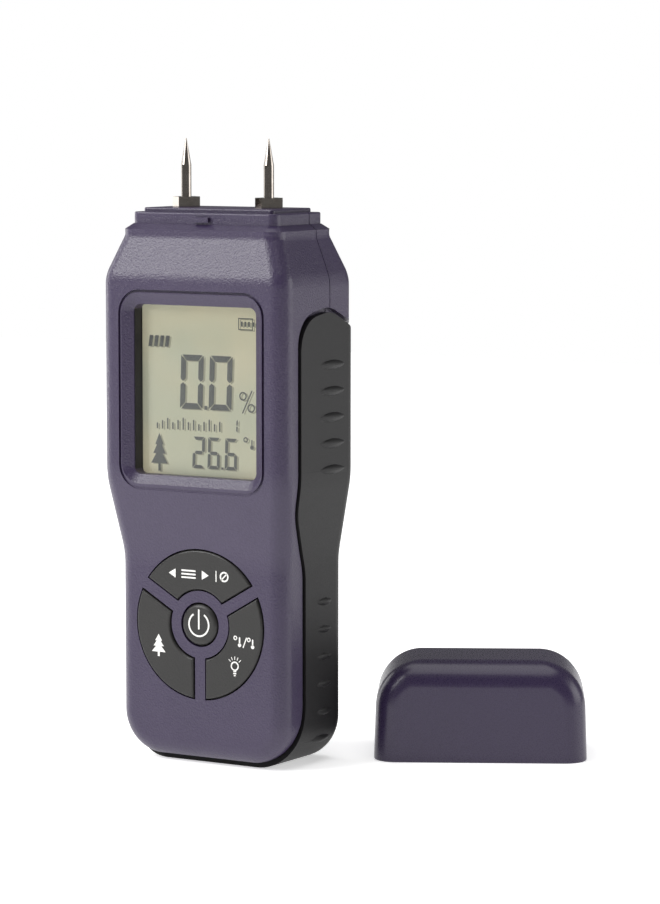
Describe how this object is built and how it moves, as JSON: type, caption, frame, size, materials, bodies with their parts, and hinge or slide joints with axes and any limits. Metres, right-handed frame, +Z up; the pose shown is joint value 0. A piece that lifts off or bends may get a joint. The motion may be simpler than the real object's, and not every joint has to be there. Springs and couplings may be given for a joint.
{
  "type": "moisture meter",
  "caption": "Handheld two-pin wood moisture meter with display, ring keypad, rubber side band, rear battery door and a push-on pin cap beside it",
  "frame": {"origin": "middle of the rubber foot that the meter stands on", "axes": "+Z up the case towards the pins, -Y out of the display face, +X to the right seen from the front"},
  "size_m": [0.1127, 0.0857, 0.1628],
  "materials": {
    "case_plastic": "spark eroded, matt",
    "band_rubber": "moulded, matt",
    "key_rubber": "moulded, matt",
    "pin_steel": "turned and polished",
    "brass": "turned",
    "spring_steel": "nickel plated",
    "clear_plastic": "clear, polished",
    "lcd_glass": "polished",
    "light_guide": "frosted",
    "inner_plastic": "moulded",
    "board": "solder resist",
    "chip_plastic": "moulded",
    "mat_silicone": "moulded",
    "carbon": "pressed",
    "cell_can": "printed sleeve, plain",
    "lead_cover": "extruded",
    "screw_steel": "blackened"
  },
  "bodies": {
    "case": {"front_cover": "case_plastic", "rear_cover": "case_plastic", "side_band": "band_rubber", "electrode_block": "case_plastic", "electrode_pin_left": "pin_steel", "electrode_pin_right": "pin_steel", "socket_left": "brass", "socket_right": "brass", "contact_strip_left": "brass", "contact_strip_right": "brass", "display_window": "clear_plastic", "lcd_panel": "lcd_glass", "backlight_panel": "light_guide", "lcd_holder": "inner_plastic", "backlight_leds": "light_guide", "circuit_board": "board", "main_chip": "chip_plastic", "buzzer": "chip_plastic", "temperature_sensor": "chip_plastic", "keypad_mat": "mat_silicone", "carbon_pills": "carbon", "battery_tray": "inner_plastic", "batteries": "cell_can", "battery_springs": "spring_steel", "battery_plates": "spring_steel", "battery_leads": "lead_cover", "case_screws": "screw_steel"},
    "power_key": {"key_power": "key_rubber"},
    "mode_key": {"key_mode": "key_rubber"},
    "unit_key": {"key_unit": "key_rubber"},
    "wood_key": {"key_wood": "key_rubber"},
    "door": {"battery_door": "case_plastic"},
    "cap": {"cap_shell": "case_plastic"}
  },
  "joints": [
    {"name": "power_key_press", "type": "slide", "parent": "case", "child": "power_key", "axis": [0, 1, 0], "range_m": [0, 0.0008], "stiffness_N_per_m": 300, "springref_m": -0.0008},
    {"name": "mode_key_press", "type": "slide", "parent": "case", "child": "mode_key", "axis": [0, 1, 0], "range_m": [0, 0.0008], "stiffness_N_per_m": 300, "springref_m": -0.0008},
    {"name": "unit_key_press", "type": "slide", "parent": "case", "child": "unit_key", "axis": [0, 1, 0], "range_m": [0, 0.0008], "stiffness_N_per_m": 300, "springref_m": -0.0008},
    {"name": "wood_key_press", "type": "slide", "parent": "case", "child": "wood_key", "axis": [0, 1, 0], "range_m": [0, 0.0008], "stiffness_N_per_m": 300, "springref_m": -0.0008},
    {"name": "door_hinge", "type": "hinge", "parent": "case", "child": "door", "pos_m": [0, 0.0152, 0.0085], "axis": [-1, 0, 0], "range_deg": [0, 90]},
    {"name": "cap_lift", "type": "slide", "parent": "case", "child": "cap", "axis": [0, 0, 1], "range_m": [0, 0.06]}
  ]
}
